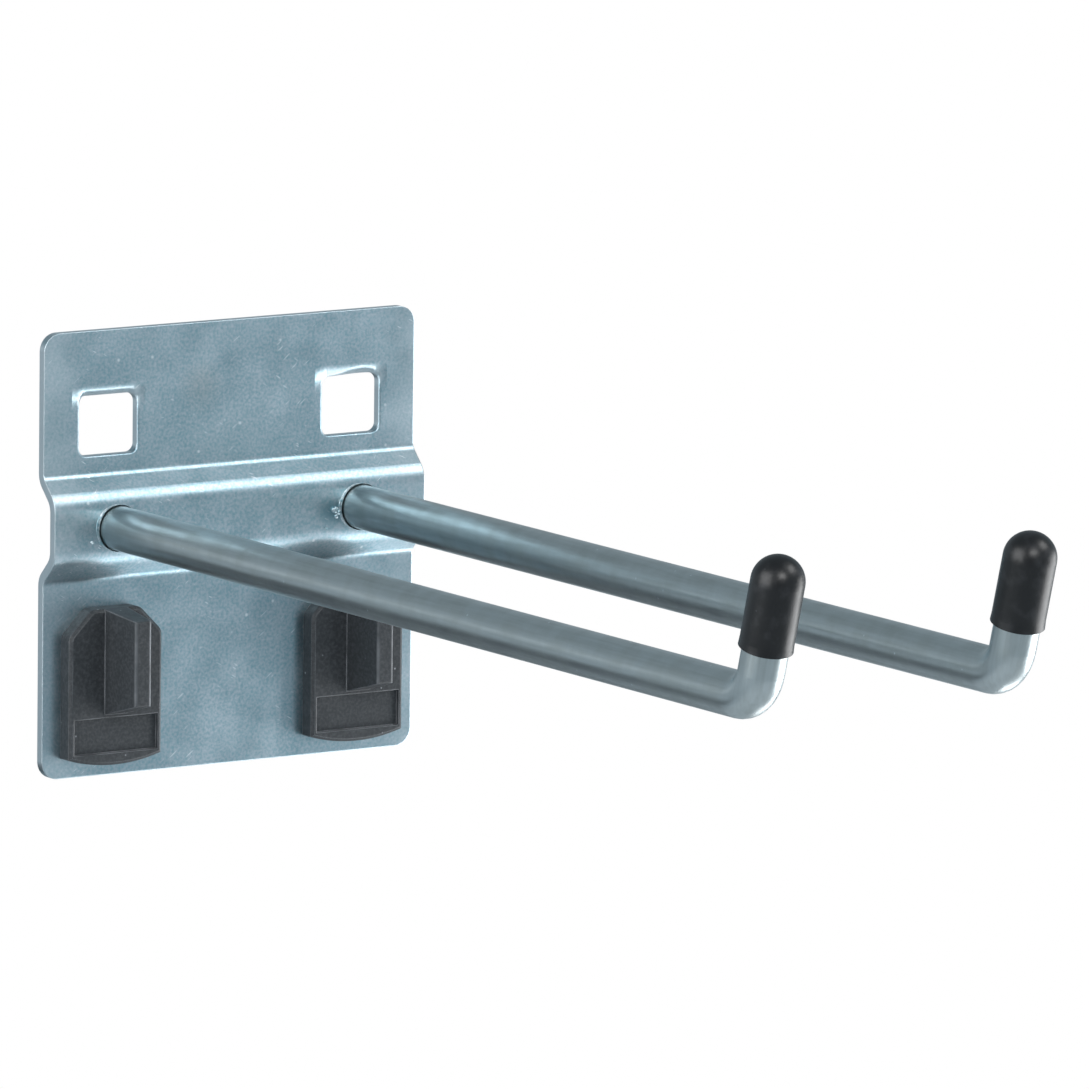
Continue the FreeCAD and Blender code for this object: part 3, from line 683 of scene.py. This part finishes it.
def stage_sheet(name, shape, material):
    """A flat piece of the stage from a bmesh, with its material."""
    mesh = bpy.data.meshes.new(name)
    shape.to_mesh(mesh)
    shape.free()
    mesh.materials.append(material)
    sheet = bpy.data.objects.new(name, mesh)
    bpy.context.scene.collection.objects.link(sheet)
    return sheet


def white_backdrop():
    """A square of white paper far behind the hook, white wherever it is seen or mirrored."""
    material, tree = new_material("white_paper")
    path = add_node(tree, "ShaderNodeLightPath")
    mirrored = add_node(tree, "ShaderNodeMath", {
        0: path.outputs["Is Glossy Ray"], 1: path.outputs["Is Transmission Ray"]}, "Value",
        operation="MAXIMUM")
    shown = add_node(tree, "ShaderNodeMath", {
        0: path.outputs["Is Camera Ray"], 1: mirrored}, "Value", operation="MAXIMUM")
    paper = add_node(tree, "ShaderNodeBsdfDiffuse", {"Color": linear("#ffffff")}, "BSDF")
    white = add_node(tree, "ShaderNodeEmission", {"Color": linear("#ffffff"), "Strength": 1.0}, "Emission")
    both = add_node(tree, "ShaderNodeMixShader", {0: shown, 1: paper, 2: white}, "Shader")
    add_node(tree, "ShaderNodeOutputMaterial", {"Surface": both})
    shape = bmesh.new()
    bmesh.ops.create_grid(shape, x_segments=1, y_segments=1, size=BACKDROP_HALF)
    backdrop = stage_sheet("backdrop", shape, material)
    behind = Matrix.Translation((0, 0, -BACKDROP_DISTANCE))
    backdrop.matrix_world = bpy.context.scene.camera.matrix_world @ behind


def pale_floor(stage):
    """A round pale floor well under the hook, matt with a faint mottle."""
    material, tree = new_material("matt_paper")
    place = add_node(tree, "ShaderNodeTexCoord", output="Object")
    mottle = add_node(tree, "ShaderNodeTexNoise", {"Vector": place, "Scale": per_mm(40)}, "Fac")
    bump = add_node(tree, "ShaderNodeBump", {
        "Height": mottle, "Strength": 0.02, "Distance": 0.1 * MM}, "Normal")
    shader = add_node(tree, "ShaderNodeBsdfPrincipled", {
        "Base Color": stage.floor, "Roughness": 0.9, "Normal": bump}, "BSDF")
    add_node(tree, "ShaderNodeOutputMaterial", {"Surface": shader})
    shape = bmesh.new()
    bmesh.ops.create_circle(shape, cap_ends=True, segments=96, radius=FLOOR_RADIUS)
    floor = stage_sheet("floor", shape, material)
    floor.location = (0, FLOOR_MIDDLE, -stage.floor_drop)


def shade_card(stage):
    """A dark card low behind the hook, which darkens the undersides of the rods."""
    material, tree = new_material("matt_card")
    shader = add_node(tree, "ShaderNodeBsdfPrincipled", {"Base Color": stage.card, "Roughness": 0.9}, "BSDF")
    add_node(tree, "ShaderNodeOutputMaterial", {"Surface": shader})
    shape = bmesh.new()
    bmesh.ops.create_grid(shape, x_segments=1, y_segments=1, size=CARD_HALF)
    card = stage_sheet("shade_card", shape, material)
    card.location = CARD_PLACE
    card.visible_camera = card.visible_diffuse = card.visible_shadow = False


class HOOK_OT_stage(bpy.types.Operator):
    """Sets up the floor, the surround, the lamps and the camera"""

    bl_idname = "hook.stage"
    bl_label = "Photo Stage"

    def execute(self, context):
        stage = context.scene.hook_stage
        aim_camera(stage)
        grey_room(stage)
        white_backdrop()
        pale_floor(stage)
        shade_card(stage)
        for name, lamp in SOFTBOXES.items():
            add_softbox(name, *lamp)
        context.scene.view_settings.view_transform = "Standard"
        return {"FINISHED"}


class HOOK_PT_sidebar(bpy.types.Panel):
    """Lists the pieces of the tool hook and the stage"""

    bl_idname = "HOOK_PT_sidebar"
    bl_label = "Double Tool Hook"
    bl_space_type = "VIEW_3D"
    bl_region_type = "UI"
    bl_category = "Tool Hook"

    def draw(self, context):
        for group in (context.scene.hook_colours, context.scene.hook_welds, context.scene.hook_stage):
            box = self.layout.box()
            for name in group.__annotations__:
                box.prop(group, name)
        for operator in OPERATORS:
            self.layout.operator(operator.bl_idname)


GROUPS = (HookColours, HookWelds, HookStage)
OPERATORS = (HOOK_OT_plate, HOOK_OT_rods, HOOK_OT_welds, HOOK_OT_caps, HOOK_OT_clips, HOOK_OT_stage)
CLASSES = GROUPS + OPERATORS + (HOOK_PT_sidebar,)


def register():
    for one in CLASSES:
        bpy.utils.register_class(one)
    bpy.types.Scene.hook_colours = bpy.props.PointerProperty(type=HookColours)
    bpy.types.Scene.hook_welds = bpy.props.PointerProperty(type=HookWelds)
    bpy.types.Scene.hook_stage = bpy.props.PointerProperty(type=HookStage)


def unregister():
    del bpy.types.Scene.hook_stage
    del bpy.types.Scene.hook_welds
    del bpy.types.Scene.hook_colours
    for one in reversed(CLASSES):
        bpy.utils.unregister_class(one)


def main():
    register()
    bpy.ops.hook.plate()
    bpy.ops.hook.rods()
    bpy.ops.hook.welds()
    bpy.ops.hook.caps()
    bpy.ops.hook.clips()
    bpy.ops.hook.stage()


if __name__ == "__main__":
    main()
